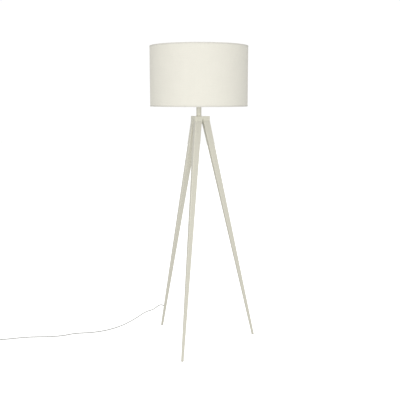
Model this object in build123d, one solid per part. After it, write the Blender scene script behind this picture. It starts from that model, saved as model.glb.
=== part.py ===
from build123d import *
import os
from math import cos, pi, radians, sin, sqrt, tan

# Tripod floor lamp: three folded-steel legs of triangular section under a cast triangular hub,
# a round stem, a screw lampholder with a turn switch, and a drum shade clamped to the holder.
# Millimetres. +Z is up and the floor is Z = 0. The origin is on the stem's axis, at the floor.
# The lamp faces -Y.

# ---- overall sizes -------------------------------------------------------------------------
total_height = 1500.0            # floor to the top of the shade
shade_diameter = 480.0           # over the fabric
shade_height = 291.0             # over the hems
stem_visible = 48.0              # stem between the hub and the shade's lower edge
hub_height = 36.0                # the hub's outer walls
leg_foot_radius = 296.5          # stem axis to the middle of a leg at the floor
leg_hub_radius = 34.7            # stem axis to the middle of a leg at the hub's underside
first_leg_azimuth = 14.2         # the right leg, from +X towards +Y
leg_names = ["right", "left", "front"]

# ---- legs: folded sheet tubes, ridge outwards ----------------------------------------------
leg_hub_size = 26.7              # middle of the section to a sharp corner, at the hub
leg_foot_size = 8.3              # the same, at the floor
leg_wall = 1.5
leg_fold_share = 0.095           # fold radius as a share of the section's size
least_fold = 0.3
foot_pad_height = 3.5
foot_plug_height = 14.0
insert_height = 24.0             # threaded block in a leg's top end
slide_clearance = 0.05           # radial, where a bolt, rod or block slides into its seat

# ---- hub ------------------------------------------------------------------------------------
hub_size = 59.0                  # stem axis to a sharp corner of the hub
hub_corner_radius = 3.0
hub_inner_corner = 1.0
hub_edge_radius = 0.8            # round the top face
hub_wall = 2.5
hub_top = 3.0
hub_leg_clearance = 0.3          # between a leg and the edge of its opening
hub_notch_top = 13.5             # below the hub's top face, where the gap between two legs ends
hub_notch_width = 13.0           # at the hub's underside
hub_notch_end = 4.0              # its width at the top
hub_boss_radius = 10.5
plate_thickness = 4.0
plate_gap = 8.0                  # above the plate, for the bolt heads
plate_clearance = 0.35
plate_corner_radius = 6.0
bolt_diameter = 6.0
bolt_length = 20.0
bolt_head_radius = 5.0
bolt_head_height = 3.6
bolt_socket_radius = 2.3
bolt_socket_floor = 1.2
washer_thickness = 1.2
washer_radius = 6.2

# ---- stem and hollow rod ---------------------------------------------------------------------
stem_diameter = 25.0
stem_wall = 1.5
rod_diameter = 10.0
rod_bore = 7.0
rod_below_plate = 16.0
rod_above_neck = 1.0
rod_nut_width = 17.0             # across the flats
rod_nut_height = 6.0
rod_washer_radius = 11.5
rod_washer_thickness = 2.0
bush_height = 8.0
stem_cap_height = 3.0
stem_cap_bevel = 1.0
lock_nut_width = 17.0
lock_nut_height = 4.0

# ---- lampholder and switch -------------------------------------------------------------------
shade_seat_height = 46.0         # the shade's seat above its lower edge
holder_radius = 19.5
holder_wall = 2.2
holder_base_height = 20.0
holder_shoulder = 4.0            # slope of the base cup's lower edge
holder_neck_wall = 3.0           # threaded neck inside the base cup
holder_neck_height = 4.0
holder_rim_bevel = 1.0
holder_body_height = 44.0
holder_flange_radius = 25.0
holder_flange_height = 3.0
insert_disc_height = 9.0
terminal_screw_radius = 1.5
terminal_head_radius = 2.6
terminal_head_height = 2.5
terminal_depth = 1.5             # screw head below the contact disc's rim
shell_wall = 0.8
shell_height = 29.0
lamp_cap_radius = 13.2
cap_clearance = 0.3
switch_height = 11.0             # above the lampholder's underside
spindle_radius = 2.0
spindle_clearance = 0.06
spindle_inside = 4.0             # past the cup's inner wall
spindle_collar_radius = 3.5
spindle_collar_length = 2.0
knob_radius = 7.0
knob_length = 12.0
knob_gap = 0.8                   # knob to lampholder
knob_end_wall = 3.0
knob_bevel = 1.2
knob_flutes = 12
knob_flute_radius = 0.9
knob_flute_out = 0.42             # a flute's centre outside the knob's surface
knob_collar = 3.0                # plain length before the flutes

# ---- shade -----------------------------------------------------------------------------------
fabric_thickness = 0.6
liner_thickness = 0.8
hem_thickness = 0.4
hem_depth = 6.0
wire_radius = 2.0
spider_ring_radius = 29.0
spider_ring_thickness = 2.0
arm_radius = 1.8
arm_lap = 2.0                    # how far an arm reaches in over the fitter ring
arm_drop = 0.6                   # arm's axis below the ring's underside
arm_slot_clearance = 1.2
spider_clearance = 0.5           # radial, fitter ring to lampholder
turning_clearance = 0.3          # above and below the fitter ring
clamp_radius = 28.0
clamp_collar_radius = 23.5
clamp_height = 8.0
clamp_flange = 2.5
clamp_grips = 18
clamp_grip_radius = 1.6
clamp_grip_out = 0.6              # a grip's centre outside the rim
arm_azimuths = [60.0, 180.0, 300.0]

# ---- bulb ------------------------------------------------------------------------------------
bulb_radius = 30.0
bulb_length = 108.0
bulb_wall = 1.0
bulb_neck_clearance = 0.3        # glass to the inside of the cap
bulb_cap_height = 25.5
bulb_cap_wall = 0.5
bulb_shoulder_angle = -42.0      # where the round part meets the flank
bulb_neck_in_cap = 8.0
bulb_neck_above_cap = 1.0
contact_height = 2.0
contact_radius = 4.5
insulator_height = 3.0
insulator_rim = 2.0              # smaller than the cap

# ---- mains lead ------------------------------------------------------------------------------
lead_diameter = 5.6
exit_height = 62.0               # above the floor, on the left leg's back face
exit_rise = 46.1                 # degrees above the horizontal
relief_length = 20.0
relief_base_radius = 4.6
relief_tip_radius = 3.3
relief_root = 3.0                # the part that passes through the leg's wall
relief_collar_radius = 5.6
relief_collar_height = 2.2
relief_collar_gap = 1.2          # face of the leg to the collar
bush_wall = 1.4
bush_clearance = 0.35
bush_half_length = 5.0
inner_lead_bend = 24.0           # drop and reach of its first bend below the rod
inner_lead_reach = 16.0
inner_lead_entry = 58.0          # below the rod, where it passes the leg's inner face
inner_lead_settle = 60.0         # further down, it runs along the leg's middle
inner_lead_end = 18.0            # above the exit
coil_radius = 29.0               # to the middle of the turns
coil_width = 11.2
coil_height = 16.6
coil_lift = 1.0
coil_edge_radius = 2.6
coil_centre = (-1087.0, -42.0)
tie_width = 9.0
tie_thickness = 0.8
tie_clearance = 0.45             # each side of the coil
tie_azimuth = 300.0
plug_back = (-1105.0, -87.0, 7.2)
plug_relief_length = 12.0
plug_length = 36.0
plug_width = 35.0
plug_height = 13.6
plug_corner = 5.0
plug_shoulder = 6.0
plug_edge_radius = 1.6
plug_nose = 3.0                  # the front corners' slope
pin_spacing = 18.6
pin_radius = 2.0
pin_length = 19.0
pin_tip_radius = 1.2

# The free lead: out of the relief, over a small arch, down to the floor and away to the left.
cord_points = [
    (-189.8, 226.4, 83.3),
    (-191.3, 240.8, 95.4),
    (-202.0, 255.2, 101.6),
    (-218.4, 264.6, 99.8),
    (-234.9, 265.9, 90.5),
    (-255.8, 261.2, 73.1),
    (-303.2, 239.2, 66.2),
    (-343.8, 215.8, 42.3),
    (-386.2, 193.9, 24.2),
    (-419.0, 177.0, 12.3),
    (-462.0, 153.0, 4.4),
    (-502.0, 124.0, 3.0),
    (-545.0, 101.0, 3.0),
    (-590.0, 88.0, 3.0),
    (-637.0, 82.0, 3.0),
    (-678.0, 72.0, 3.0),
    (-712.0, 50.0, 3.0),
    (-752.0, 36.0, 3.0),
    (-800.0, 29.0, 3.0),
    (-852.0, 27.5, 3.0),
    (-904.0, 23.5, 3.0),
    (-954.0, 11.5, 3.0),
    (-1002.0, -3.5, 3.0),
    (-1040.0, -11.2, 3.7),
]
cord_end = (-1070.0, -13.2, 4.2)
# The short tail from the top of the coil down to the plug.
tail_start = (-1118.4, -51.0, 13.4)
tail_points = [(-1117.4, -60.0, 11.6), (-1113.2, -69.0, 9.0), (-1107.6, -78.0, 7.4)]

# ---- heights and radii that follow -----------------------------------------------------------
shade_bottom = total_height - shade_height
hub_top_z = shade_bottom - stem_visible
hub_bottom_z = hub_top_z - hub_height
plate_top_z = hub_top_z - hub_top - plate_gap
plate_bottom_z = plate_top_z - plate_thickness
seat_z = shade_bottom + shade_seat_height
holder_body_z = seat_z - holder_flange_height
holder_base_z = holder_body_z - holder_base_height
stem_top_z = holder_base_z - lock_nut_height - stem_cap_height
rod_bottom_z = plate_bottom_z - rod_below_plate
holder_neck_z = holder_base_z + holder_wall + holder_neck_height
rod_top_z = holder_neck_z + rod_above_neck
insert_top_z = holder_body_z + insert_disc_height
shell_top_z = insert_top_z + shell_height
holder_top_z = holder_body_z + holder_body_height
contact_z = insert_top_z + 1.5
bulb_cap_z = contact_z + contact_height + insulator_height
bulb_cap_top_z = bulb_cap_z + bulb_cap_height
bulb_top_z = contact_z + bulb_length
stem_radius = stem_diameter / 2
rod_radius = rod_diameter / 2
lead_radius = lead_diameter / 2
shade_radius = shade_diameter / 2
liner_radius = shade_radius - fabric_thickness
liner_inner = liner_radius - liner_thickness
ring_radius = liner_inner - wire_radius
leg_azimuths = {name: first_leg_azimuth + 120.0 * i for i, name in enumerate(leg_names)}

parts = {}


def leg_middle(z):
    """Distance from the stem's axis to the middle of a leg's section."""
    return leg_foot_radius + (leg_hub_radius - leg_foot_radius) * z / hub_bottom_z


def leg_size(z):
    """Middle of the section to a sharp corner."""
    return leg_foot_size + (leg_hub_size - leg_foot_size) * z / hub_bottom_z


def triangle(middle, size, z, fillet_radius):
    """A horizontal rounded triangle with one corner pointing along +X."""
    corners = [
        Vector(middle + size * cos(radians(a)), size * sin(radians(a)), z)
        for a in (0, 120, 240)
    ]
    outline = Wire.make_polygon(corners, close=True)
    return outline.fillet_2d(fillet_radius, outline.vertices())


def leg_body(z_low, z_high, offset):
    """A length of leg, its faces moved in by offset (out, where it is negative)."""
    sections = []
    for z in (z_low, z_high):
        size = leg_size(z)
        fold = max(size * leg_fold_share - offset, least_fold)
        sections.append(triangle(leg_middle(z), size - 2 * offset, z, fold))
    return Solid.make_loft(sections, ruled=True)


def turned(shape, azimuth):
    return shape.rotate(Axis.Z, azimuth)


def disc(radius, z, height, x=0.0, y=0.0):
    return Solid.make_cylinder(radius, height, Plane(origin=(x, y, z)))


def tube(outer, inner, z, height):
    return disc(outer, z, height) - disc(inner, z - 1, height + 2)


def revolved(profile):
    """Turn (radius, height) points about the stem's axis."""
    face = make_face(Polyline([(r, 0, z) for r, z in profile], close=True))
    return revolve(face, Axis.Z, 360)


def hexagon(width, z, height, hole):
    outline = RegularPolygon(width / sqrt(3), 6)
    return Pos(0, 0, z) * extrude(outline, height) - disc(hole, z - 1, height + 2)


def rod_between(start, end, radius):
    """A round bar from start to end."""
    start, end = Vector(*start), Vector(*end)
    line = end - start
    return Solid.make_cylinder(radius, line.length, Plane(origin=start, z_dir=line))


def lead_tube(name, points):
    """The lead along straight runs and the largest tangent arcs that its runs allow."""
    points = [Vector(*p) for p in points]
    radii = []
    for before, here, after in zip(points, points[1:], points[2:]):
        run = min((here - before).length, (after - here).length)
        turn = (here - before).get_angle(after - here)
        radii.append(0.45 * run / tan(radians(turn / 2)))
    path = FilletPolyline(*points, radius=radii)
    section = Plane(origin=points[0], z_dir=points[1] - points[0]) * Circle(lead_radius)
    solid = sweep(section, path=path)
    ideal = pi * lead_radius**2 * path.length
    print(name, "radii", [round(r) for r in radii], "length", round(path.length, 1))
    print(name, "volume", round(solid.volume), "section x length", round(ideal))
    return solid


# ---- legs, feet and their threaded blocks ------------------------------------------------------
bolt_middle = leg_middle(plate_bottom_z)
legs = {}
for name, azimuth in leg_azimuths.items():
    leg = leg_body(foot_pad_height, plate_bottom_z, 0)
    leg -= leg_body(foot_pad_height - 1, plate_bottom_z + 1, leg_wall)
    block = leg_body(plate_bottom_z - insert_height, plate_bottom_z, leg_wall + slide_clearance)
    block -= disc(bolt_diameter / 2 + slide_clearance, plate_bottom_z - insert_height - 1,
                  insert_height + 2, bolt_middle)
    pad = leg_body(0, foot_pad_height, 0)
    pad += leg_body(foot_pad_height, foot_pad_height + foot_plug_height,
                    leg_wall + slide_clearance)
    legs[name] = turned(leg, azimuth)
    parts["leg_insert_" + name] = turned(block, azimuth)
    parts["foot_pad_" + name] = turned(pad, azimuth)

# ---- hub: a cast triangular cap, open below, notched between the legs --------------------------
hub = Solid.extrude(
    Face(triangle(0, hub_size, hub_bottom_z, hub_corner_radius)), Vector(0, 0, hub_height))
hub = fillet(hub.edges().group_by(Axis.Z)[-1], hub_edge_radius)
inside = triangle(0, hub_size - 2 * hub_wall, hub_bottom_z - 1, hub_inner_corner)
hub -= Solid.extrude(Face(inside), Vector(0, 0, hub_height - hub_top + 1))
hub = turned(hub, first_leg_azimuth)
hub = hub + disc(hub_boss_radius, plate_top_z, hub_top + plate_gap)
hub = hub - disc(rod_radius + slide_clearance, hub_bottom_z, hub_height + 1)
notch_height = hub_height - hub_notch_top
for azimuth in leg_azimuths.values():
    passage = leg_body(hub_bottom_z - 2, plate_bottom_z, -hub_leg_clearance)
    hub -= turned(passage, azimuth)
    notch = Polyline(
        (0, -hub_notch_width / 2, hub_bottom_z - 1),
        (0, -hub_notch_end / 2, hub_bottom_z + notch_height),
        (0, hub_notch_end / 2, hub_bottom_z + notch_height),
        (0, hub_notch_width / 2, hub_bottom_z - 1),
        close=True,
    )
    cutter = extrude(make_face(notch), amount=hub_size, dir=(1, 0, 0))
    hub -= turned(cutter, azimuth + 60)
parts["hub_cap"] = hub

# ---- mounting plate, leg bolts and washers ----------------------------------------------------
plate_size = hub_size - 2 * (hub_wall + plate_clearance)
plate = turned(Solid.extrude(
    Face(triangle(0, plate_size, plate_bottom_z, plate_corner_radius)),
    Vector(0, 0, plate_thickness)), first_leg_azimuth)
plate -= disc(rod_radius + slide_clearance, plate_bottom_z - 1, plate_thickness + 2)
bolts = []
washers = []
for azimuth in leg_azimuths.values():
    x = bolt_middle * cos(radians(azimuth))
    y = bolt_middle * sin(radians(azimuth))
    head_z = plate_top_z + washer_thickness
    hole = bolt_diameter / 2 + slide_clearance
    plate -= disc(hole, plate_bottom_z - 1, plate_thickness + 2, x, y)
    washer = disc(washer_radius, plate_top_z, washer_thickness, x, y)
    washers.append(washer - disc(hole, plate_top_z - 1, washer_thickness + 2, x, y))
    bolt = disc(bolt_diameter / 2, head_z - bolt_length, bolt_length, x, y)
    bolt += disc(bolt_head_radius, head_z, bolt_head_height, x, y)
    socket = Pos(x, y, head_z + bolt_socket_floor) * extrude(
        RegularPolygon(bolt_socket_radius, 6), bolt_head_height)
    bolts.append(bolt - socket)
parts["mounting_plate"] = plate
parts["leg_bolts"] = Compound(bolts)
parts["leg_washers"] = Compound(washers)

# ---- hollow threaded rod, its lower nut and washer ---------------------------------------------
parts["threaded_rod"] = tube(rod_radius, rod_bore / 2, rod_bottom_z, rod_top_z - rod_bottom_z)
rod_washer_z = plate_bottom_z - rod_washer_thickness
parts["rod_washer"] = tube(rod_washer_radius, rod_radius + slide_clearance, rod_washer_z,
                           rod_washer_thickness)
parts["rod_nut"] = hexagon(rod_nut_width, rod_washer_z - rod_nut_height, rod_nut_height,
                           rod_radius)

# ---- stem ----------------------------------------------------------------------------------------
stem_inner = stem_radius - stem_wall
parts["stem_tube"] = tube(stem_radius, stem_inner, hub_top_z, stem_top_z - hub_top_z)
parts["stem_bush"] = tube(stem_inner - slide_clearance, rod_radius + slide_clearance, hub_top_z,
                          bush_height)
parts["stem_cap"] = revolved([
    (rod_radius + slide_clearance, stem_top_z - bush_height),
    (stem_inner - slide_clearance, stem_top_z - bush_height),
    (stem_inner - slide_clearance, stem_top_z),
    (stem_radius, stem_top_z),
    (stem_radius, stem_top_z + stem_cap_height - stem_cap_bevel),
    (stem_radius - stem_cap_bevel, stem_top_z + stem_cap_height),
    (rod_radius + slide_clearance, stem_top_z + stem_cap_height),
])
parts["stem_lock_nut"] = hexagon(lock_nut_width, holder_base_z - lock_nut_height,
                                 lock_nut_height, rod_radius)

# ---- lampholder: base cup, threaded body, contact disc, screw shell and contacts --------------
cup = revolved([
    (rod_radius, holder_base_z),
    (holder_radius - holder_shoulder, holder_base_z),
    (holder_radius, holder_base_z + holder_shoulder),
    (holder_radius, holder_body_z),
    (holder_radius - holder_wall, holder_body_z),
    (holder_radius - holder_wall, holder_base_z + holder_shoulder + 0.3 * holder_wall),
    (holder_radius - holder_shoulder - holder_wall, holder_base_z + holder_wall),
    (rod_radius + holder_neck_wall, holder_base_z + holder_wall),
    (rod_radius + holder_neck_wall, holder_neck_z),
    (rod_radius, holder_neck_z),
])
switch_z = holder_base_z + switch_height
spindle_hole = spindle_radius + spindle_clearance
cup -= rod_between((rod_radius + holder_neck_wall, 0, switch_z), (holder_radius + 2, 0, switch_z),
                   spindle_hole)
parts["holder_base"] = cup
shell_outer = lamp_cap_radius + cap_clearance + shell_wall
disc_radius = holder_radius - holder_wall
parts["holder_body"] = revolved([
    (disc_radius, holder_body_z),
    (holder_flange_radius, holder_body_z),
    (holder_flange_radius, seat_z),
    (holder_radius, seat_z),
    (holder_radius, holder_top_z - holder_rim_bevel),
    (holder_radius - holder_rim_bevel, holder_top_z),
    (shell_outer, holder_top_z),
    (shell_outer, insert_top_z),
    (disc_radius, insert_top_z),
])
ceramic = disc(disc_radius - slide_clearance, holder_body_z, insert_disc_height)
screws = []
screw_z = holder_body_z + insert_disc_height / 2
for side in (1, -1):
    start = (0, side * disc_radius * 0.45, screw_z)
    end = (0, side * (disc_radius - terminal_depth), screw_z)
    outer = (0, side * (disc_radius + 2), screw_z)
    ceramic -= rod_between(start, outer, terminal_head_radius)
    shank = rod_between(start, end, terminal_screw_radius)
    head_start = (0, side * (disc_radius - terminal_depth - terminal_head_height), screw_z)
    screws.append(shank + rod_between(head_start, end, terminal_head_radius))
parts["holder_insert"] = ceramic
parts["terminal_screws"] = Compound(screws)
parts["screw_shell"] = tube(shell_outer, shell_outer - shell_wall, insert_top_z, shell_height)
parts["centre_contact"] = disc(contact_radius, insert_top_z, contact_z - insert_top_z)

# ---- turn switch -----------------------------------------------------------------------------------
knob_x = holder_radius + knob_gap
spindle_x = holder_radius - holder_wall - spindle_inside
spindle = rod_between((spindle_x, 0, switch_z), (knob_x + knob_length - knob_end_wall, 0, switch_z),
                      spindle_radius)
spindle += rod_between((spindle_x, 0, switch_z), (spindle_x + spindle_collar_length, 0, switch_z),
                       spindle_collar_radius)
knob = rod_between((knob_x, 0, switch_z), (knob_x + knob_length, 0, switch_z), knob_radius)
knob = chamfer(knob.edges().group_by(Axis.X)[-1], knob_bevel)
for i in range(knob_flutes):
    angle = 2 * pi * i / knob_flutes
    flute_y = (knob_radius + knob_flute_out) * cos(angle)
    flute_z = switch_z + (knob_radius + knob_flute_out) * sin(angle)
    knob -= rod_between((knob_x + knob_collar, flute_y, flute_z),
                        (knob_x + knob_length + 1, flute_y, flute_z), knob_flute_radius)
parts["switch_knob"] = knob - spindle
parts["switch_spindle"] = spindle

# ---- bulb ------------------------------------------------------------------------------------------
globe_z = bulb_top_z - bulb_radius
bulb_neck_radius = lamp_cap_radius - bulb_cap_wall - bulb_neck_clearance


def globe(inset):
    """The bulb's outline turned about its axis, moved in by inset."""
    radius = bulb_radius - inset
    low = radians(bulb_shoulder_angle)
    shoulder = (radius * cos(low), globe_z + radius * sin(low))
    neck_top = (bulb_neck_radius - inset, bulb_cap_top_z + bulb_neck_above_cap)
    neck_low = (bulb_neck_radius - inset, bulb_cap_top_z - bulb_neck_in_cap + inset)
    dome = ThreePointArc((0, 0, globe_z + radius), (radius, 0, globe_z),
                         (shoulder[0], 0, shoulder[1]))
    flank = TangentArc((shoulder[0], 0, shoulder[1]), (neck_top[0], 0, neck_top[1]),
                       tangent=dome % 1)
    rest = Polyline((neck_top[0], 0, neck_top[1]), (neck_low[0], 0, neck_low[1]),
                    (0, 0, neck_low[1]), (0, 0, globe_z + radius))
    return revolve(make_face([dome, flank, rest]), Axis.Z, 360)


parts["bulb_glass"] = globe(0) - globe(bulb_wall)
cap_tube_z = bulb_cap_z + bulb_cap_wall
bulb_cap = disc(lamp_cap_radius, bulb_cap_z, bulb_cap_height)
bulb_cap -= disc(lamp_cap_radius - bulb_cap_wall, cap_tube_z, bulb_cap_height)
parts["bulb_cap"] = bulb_cap
parts["bulb_insulator"] = Solid.make_cone(contact_radius, lamp_cap_radius - insulator_rim,
                                          insulator_height,
                                          Plane(origin=(0, 0, contact_z + contact_height)))
parts["bulb_contact"] = disc(contact_radius, contact_z, contact_height)

# ---- clamp ring that holds the shade on its seat ------------------------------------------------
fitter_z = seat_z + turning_clearance
clamp_z = fitter_z + spider_ring_thickness + turning_clearance
clamp_bore = holder_radius + slide_clearance
ring = tube(clamp_radius, clamp_bore, clamp_z, clamp_flange)
ring += tube(clamp_collar_radius, clamp_bore, clamp_z + clamp_flange, clamp_height - clamp_flange)
for i in range(clamp_grips):
    angle = 2 * pi * i / clamp_grips
    x = (clamp_radius + clamp_grip_out) * cos(angle)
    y = (clamp_radius + clamp_grip_out) * sin(angle)
    ring -= disc(clamp_grip_radius, clamp_z - 1, clamp_flange + 2, x, y)
parts["shade_clamp_ring"] = ring

# ---- shade: welded fitter frame, top wire, liner, fabric and hems ---------------------------------
wire_low_z = shade_bottom + hem_thickness + wire_radius
wire_high_z = total_height - hem_thickness - wire_radius
fitter = tube(spider_ring_radius, holder_radius + spider_clearance, fitter_z,
              spider_ring_thickness)
fitter += Pos(0, 0, wire_low_z) * Torus(ring_radius, wire_radius)
arm_start_z = fitter_z - arm_drop
for azimuth in arm_azimuths:
    arm = rod_between((spider_ring_radius - arm_lap, 0, arm_start_z), (ring_radius, 0, wire_low_z),
                      arm_radius)
    arm -= disc(spider_ring_radius + arm_lap, fitter_z + spider_ring_thickness, clamp_height)
    fitter += turned(arm, azimuth)
parts["shade_spider"] = fitter
parts["shade_top_wire"] = Pos(0, 0, wire_high_z) * Torus(ring_radius, wire_radius)
wall_low_z = shade_bottom + hem_thickness
wall_height = shade_height - 2 * hem_thickness
parts["shade_liner"] = tube(liner_radius, liner_inner, wall_low_z, wall_height)
parts["shade_fabric"] = tube(shade_radius, liner_radius, wall_low_z, wall_height)
hem_outer = shade_radius + hem_thickness
hem_inner = ring_radius - wire_radius - hem_thickness
for name, edge_z, step in (("top", total_height, -1), ("bottom", shade_bottom, 1)):
    hem = revolved([
        (hem_outer, edge_z),
        (hem_outer, edge_z + step * hem_depth),
        (shade_radius, edge_z + step * hem_depth),
        (shade_radius, edge_z + step * hem_thickness),
        (hem_inner + hem_thickness, edge_z + step * hem_thickness),
        (hem_inner + hem_thickness, edge_z + step * hem_depth),
        (hem_inner, edge_z + step * hem_depth),
        (hem_inner, edge_z),
    ])
    if name == "bottom":
        for azimuth in arm_azimuths:
            arm_slot = rod_between((spider_ring_radius, 0, arm_start_z), (ring_radius, 0, wire_low_z),
                                   arm_radius + arm_slot_clearance)
            hem -= turned(arm_slot, azimuth)
    parts["shade_" + name + "_hem"] = hem

# ---- lead inside the lamp: down the rod, across into the left leg and down to the exit ----------
lead_azimuth = leg_azimuths["left"]
lead_low_z = exit_height + inner_lead_end
bend_z = rod_bottom_z - 10
cross_z = rod_bottom_z - inner_lead_entry
cross_radius = leg_middle(cross_z) - leg_size(cross_z) / 2
cross_low_z = 2 * cross_z - bend_z + inner_lead_bend
settled_z = cross_low_z - inner_lead_settle
inner_route = [
    (0, holder_body_z - 3),
    (0, bend_z),
    (inner_lead_reach, bend_z - inner_lead_bend),
    (2 * cross_radius - inner_lead_reach, cross_low_z),
    (leg_middle(settled_z) - 1, settled_z),
    (leg_middle(lead_low_z), lead_low_z),
]
inner_points = [(r * cos(radians(lead_azimuth)), r * sin(radians(lead_azimuth)), z)
                for r, z in inner_route]
parts["inner_lead"] = lead_tube("inner_lead", inner_points)
(bush_r0, bush_z0), (bush_r1, bush_z1) = inner_route[2], inner_route[3]
slope = (bush_r1 - bush_r0) / (bush_z0 - bush_z1)
wall_r = leg_middle(bush_z0) - leg_size(bush_z0) / 2
wall_slope = (leg_middle(bush_z1) - leg_size(bush_z1) / 2 - wall_r) / (bush_z0 - bush_z1)
bush_drop = (wall_r - bush_r0) / (slope - wall_slope)
bush_centre = Vector(bush_r0 + slope * bush_drop, 0, bush_z0 - bush_drop)
along = Vector(slope, 0, -1).normalized()


def crossing(radius, back, ahead):
    """A round bar along the lead where it passes through the left leg's inner face."""
    bar = rod_between(bush_centre - along * back, bush_centre + along * ahead, radius)
    return turned(bar, lead_azimuth)


bush_radius = lead_radius + bush_wall
legs["left"] -= crossing(bush_radius + slide_clearance, 16, 16)
bush = crossing(bush_radius, bush_half_length, bush_half_length)
parts["lead_bush"] = bush - crossing(lead_radius + bush_clearance, 16, 16)

# ---- strain relief on the left leg's back face ---------------------------------------------------
face_azimuth = lead_azimuth - 60
face_distance = leg_size(exit_height) / 2
exit_point = Vector(
    leg_middle(exit_height) * cos(radians(lead_azimuth)) + face_distance * cos(radians(face_azimuth)),
    leg_middle(exit_height) * sin(radians(lead_azimuth)) + face_distance * sin(radians(face_azimuth)),
    exit_height,
)
exit_direction = Vector(
    cos(radians(exit_rise)) * cos(radians(face_azimuth)),
    cos(radians(exit_rise)) * sin(radians(face_azimuth)),
    sin(radians(exit_rise)),
)
relief_start = exit_point - exit_direction * relief_root
relief = Solid.make_cone(relief_base_radius, relief_tip_radius, relief_length + relief_root,
                         Plane(origin=relief_start, z_dir=exit_direction))
collar_start = exit_point + exit_direction * relief_collar_gap
relief += rod_between(collar_start, collar_start + exit_direction * relief_collar_height,
                      relief_collar_radius)
root = rod_between(relief_start - exit_direction * relief_root,
                   exit_point + exit_direction * 2 * relief_base_radius,
                   relief_base_radius + slide_clearance)
legs["left"] -= root
relief -= leg_body(exit_height - 40, exit_height + 40, 0).rotate(Axis.Z, lead_azimuth) - root
parts["strain_relief"] = relief
for name, leg in legs.items():
    parts["leg_" + name] = leg

# ---- free lead, coil, tie, tail and plug ---------------------------------------------------------
relief_tip = exit_point + exit_direction * relief_length
parts["cord"] = lead_tube("cord", [tuple(relief_tip)] + cord_points + [cord_end])
parts["cord_tail"] = lead_tube("cord_tail", [tail_start] + tail_points + [plug_back])
coil = Pos(*coil_centre) * tube(coil_radius + coil_width / 2, coil_radius - coil_width / 2,
                                coil_lift, coil_height)
coil = fillet(coil.edges().filter_by(GeomType.CIRCLE), coil_edge_radius)
parts["cord_coil"] = coil
inner_width = coil_width + 2 * tie_clearance
inner_height = coil_height + 0.2
outer = Box(inner_width + 2 * tie_thickness, tie_width, inner_height + 2 * tie_thickness)
inner = Box(inner_width, tie_width + 1, inner_height)
band = fillet(outer.edges().filter_by(Axis.Y), 3.0) - fillet(inner.edges().filter_by(Axis.Y), 2.2)
band = Pos(coil_radius, 0, coil_lift + coil_height / 2) * band
parts["coil_tie"] = Pos(*coil_centre) * band.rotate(Axis.Z, tie_azimuth)

back = Vector(*plug_back)
body_start = back - Vector(0, plug_relief_length, 0)
outline = Polyline(
    (-plug_corner - 2, 0), (plug_corner + 2, 0), (plug_width / 2, -plug_shoulder * 2.2),
    (plug_width / 2, -plug_length + plug_shoulder), (plug_width / 2 - plug_nose, -plug_length),
    (-plug_width / 2 + plug_nose, -plug_length), (-plug_width / 2, -plug_length + plug_shoulder),
    (-plug_width / 2, -plug_shoulder * 2.2), close=True,
)
plug = extrude(make_face(outline), plug_height)
plug = fillet(plug.edges().filter_by(Axis.Z, reverse=True).filter_by(GeomType.LINE),
              plug_edge_radius)
plug = Pos(body_start.X, body_start.Y, back.Z - plug_height / 2) * plug
plug += Solid.make_cone(relief_tip_radius, plug_corner, plug_relief_length + 1,
                        Plane(origin=back, z_dir=(0, -1, 0)))
parts["plug_body"] = plug
pins = []
for side in (1, -1):
    x = back.X + side * pin_spacing / 2
    face_y = body_start.Y - plug_length
    pin = rod_between((x, face_y, back.Z), (x, face_y - pin_length, back.Z), pin_radius)
    pins.append(fillet(pin.edges().group_by(Axis.Y)[0], pin_tip_radius))
parts["plug_pins"] = Compound(pins)

os.makedirs("parts", exist_ok=True)
for name, shape in parts.items():
    export_step(shape, "parts/" + name + ".step")
print(len(parts), "nodes; bulb top", round(bulb_top_z, 1), "seat", round(seat_z, 1))
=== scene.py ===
from math import cos, pi, radians, sin, sqrt

import bmesh
import bpy
from mathutils import Matrix, Vector, noise


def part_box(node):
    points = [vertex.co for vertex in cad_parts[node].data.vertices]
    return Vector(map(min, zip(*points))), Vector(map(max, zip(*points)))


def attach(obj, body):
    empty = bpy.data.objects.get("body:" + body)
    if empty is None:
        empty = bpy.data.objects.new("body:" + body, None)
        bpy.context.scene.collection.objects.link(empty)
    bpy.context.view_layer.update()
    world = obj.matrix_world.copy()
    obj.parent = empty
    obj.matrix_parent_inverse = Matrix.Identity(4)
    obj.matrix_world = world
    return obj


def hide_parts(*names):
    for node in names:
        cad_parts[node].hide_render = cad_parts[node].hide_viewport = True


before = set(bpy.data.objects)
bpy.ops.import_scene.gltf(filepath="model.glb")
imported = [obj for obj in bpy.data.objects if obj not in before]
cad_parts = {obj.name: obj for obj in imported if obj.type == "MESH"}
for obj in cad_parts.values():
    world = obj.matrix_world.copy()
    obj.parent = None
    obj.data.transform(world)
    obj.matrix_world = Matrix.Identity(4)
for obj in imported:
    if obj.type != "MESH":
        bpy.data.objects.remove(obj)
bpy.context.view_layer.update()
scene = bpy.context.scene
scene.view_settings.view_transform = "Standard"


# ---- Camera, floor and studio light --------------------------------------------------------------
# A product shot from a little above the shade's lower edge, on a white sweep. The room is bright
# all round, and a soft box in front, a little to the left, makes the shade's middle the lightest.
camera_distance = 3.173
camera_height = 1.254
camera_pitch = 9.2
camera_turn = 0.1
camera_lens = 57.15
floor_reach = 14.0
floor_glow = 0.9
floor_white = 0.62
room_light = 0.84
box_power = 42.0
box_place = (-0.2, -3.4, 1.05)
box_target = (0, 0, 1.05)
box_side = 1.3
white_point = 1.02                # what the camera sees of the room

camera = bpy.data.objects.new("camera", bpy.data.cameras.new("camera"))
camera.data.lens = camera_lens
camera.data.sensor_width = 36.0
camera.data.clip_end = 60.0
camera.location = (0, -camera_distance, camera_height)
camera.rotation_euler = (radians(90 - camera_pitch), 0, radians(-camera_turn))
scene.collection.objects.link(camera)
scene.camera = camera


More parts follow.
